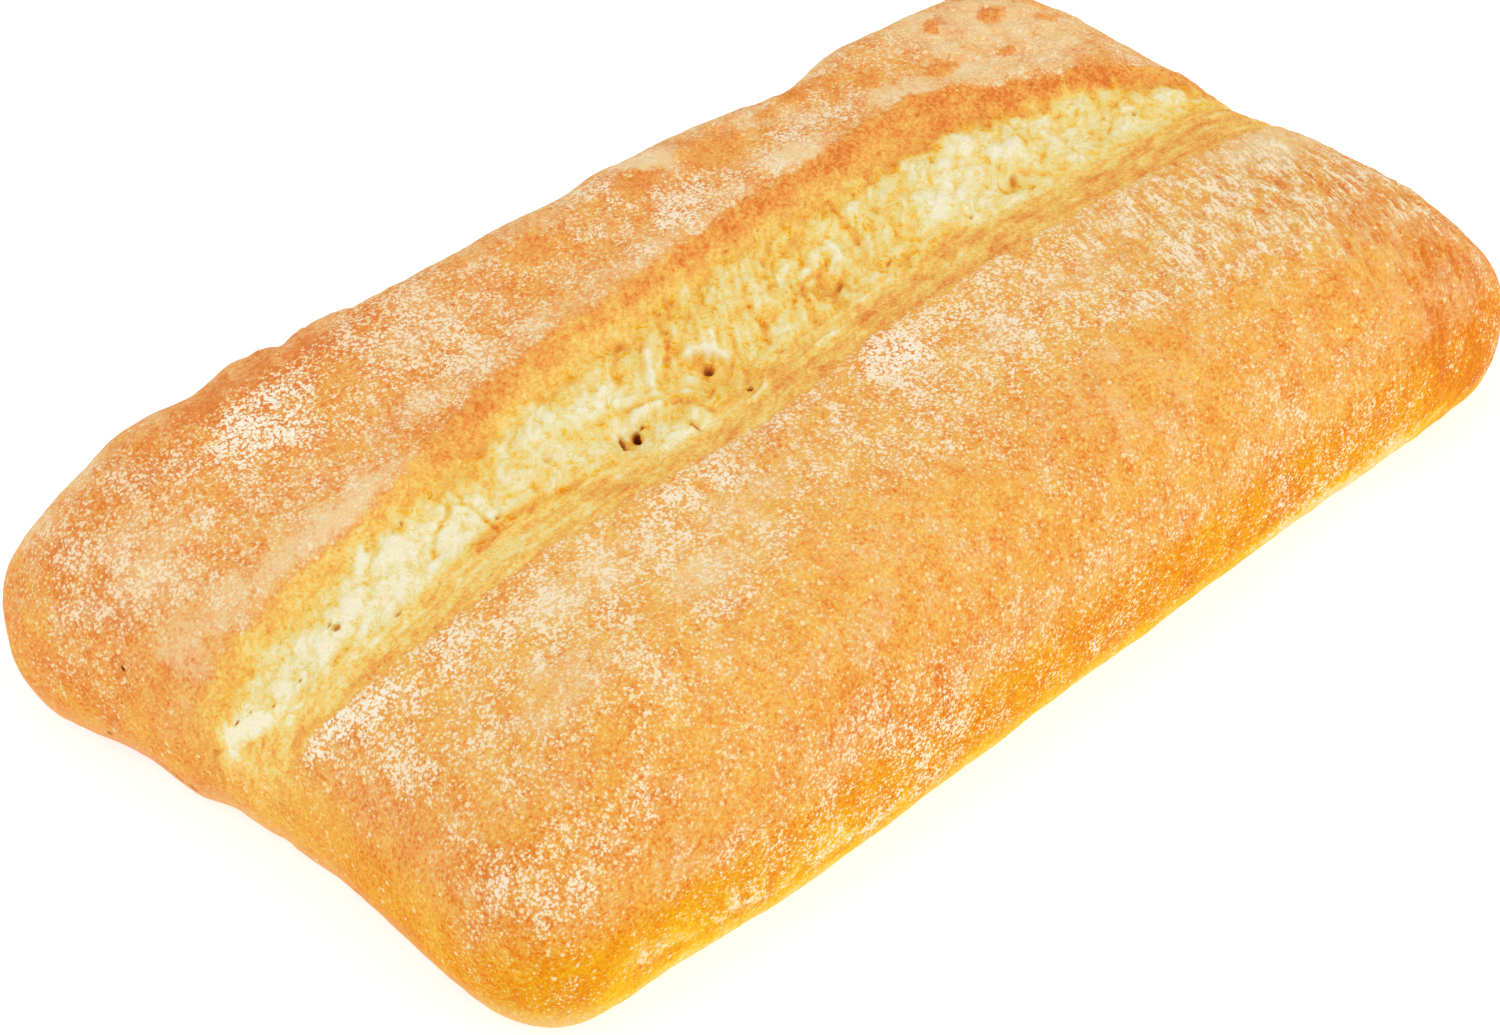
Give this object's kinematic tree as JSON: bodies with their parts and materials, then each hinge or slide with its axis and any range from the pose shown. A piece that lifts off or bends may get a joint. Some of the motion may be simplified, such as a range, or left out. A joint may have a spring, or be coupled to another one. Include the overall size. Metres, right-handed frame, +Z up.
{
  "type": "ciabatta loaf",
  "caption": "Whole flat oblong loaf with a floury golden crust and a long split that shows the pale torn crumb.",
  "frame": {"origin": "middle of the loaf's box, at the flat base it lies on", "axes": "+X along the loaf, +Y across it towards the side that the split is nearer to, +Z up"},
  "size_m": [0.2752, 0.1556, 0.0529],
  "materials": {
    "crust": "baked golden-brown crust, dry and matt",
    "crumb": "pale cream torn bread, soft and matt",
    "flour": "fine dry flour dust"
  },
  "bodies": {
    "root": {"loaf": "crust"}
  },
  "joints": []
}
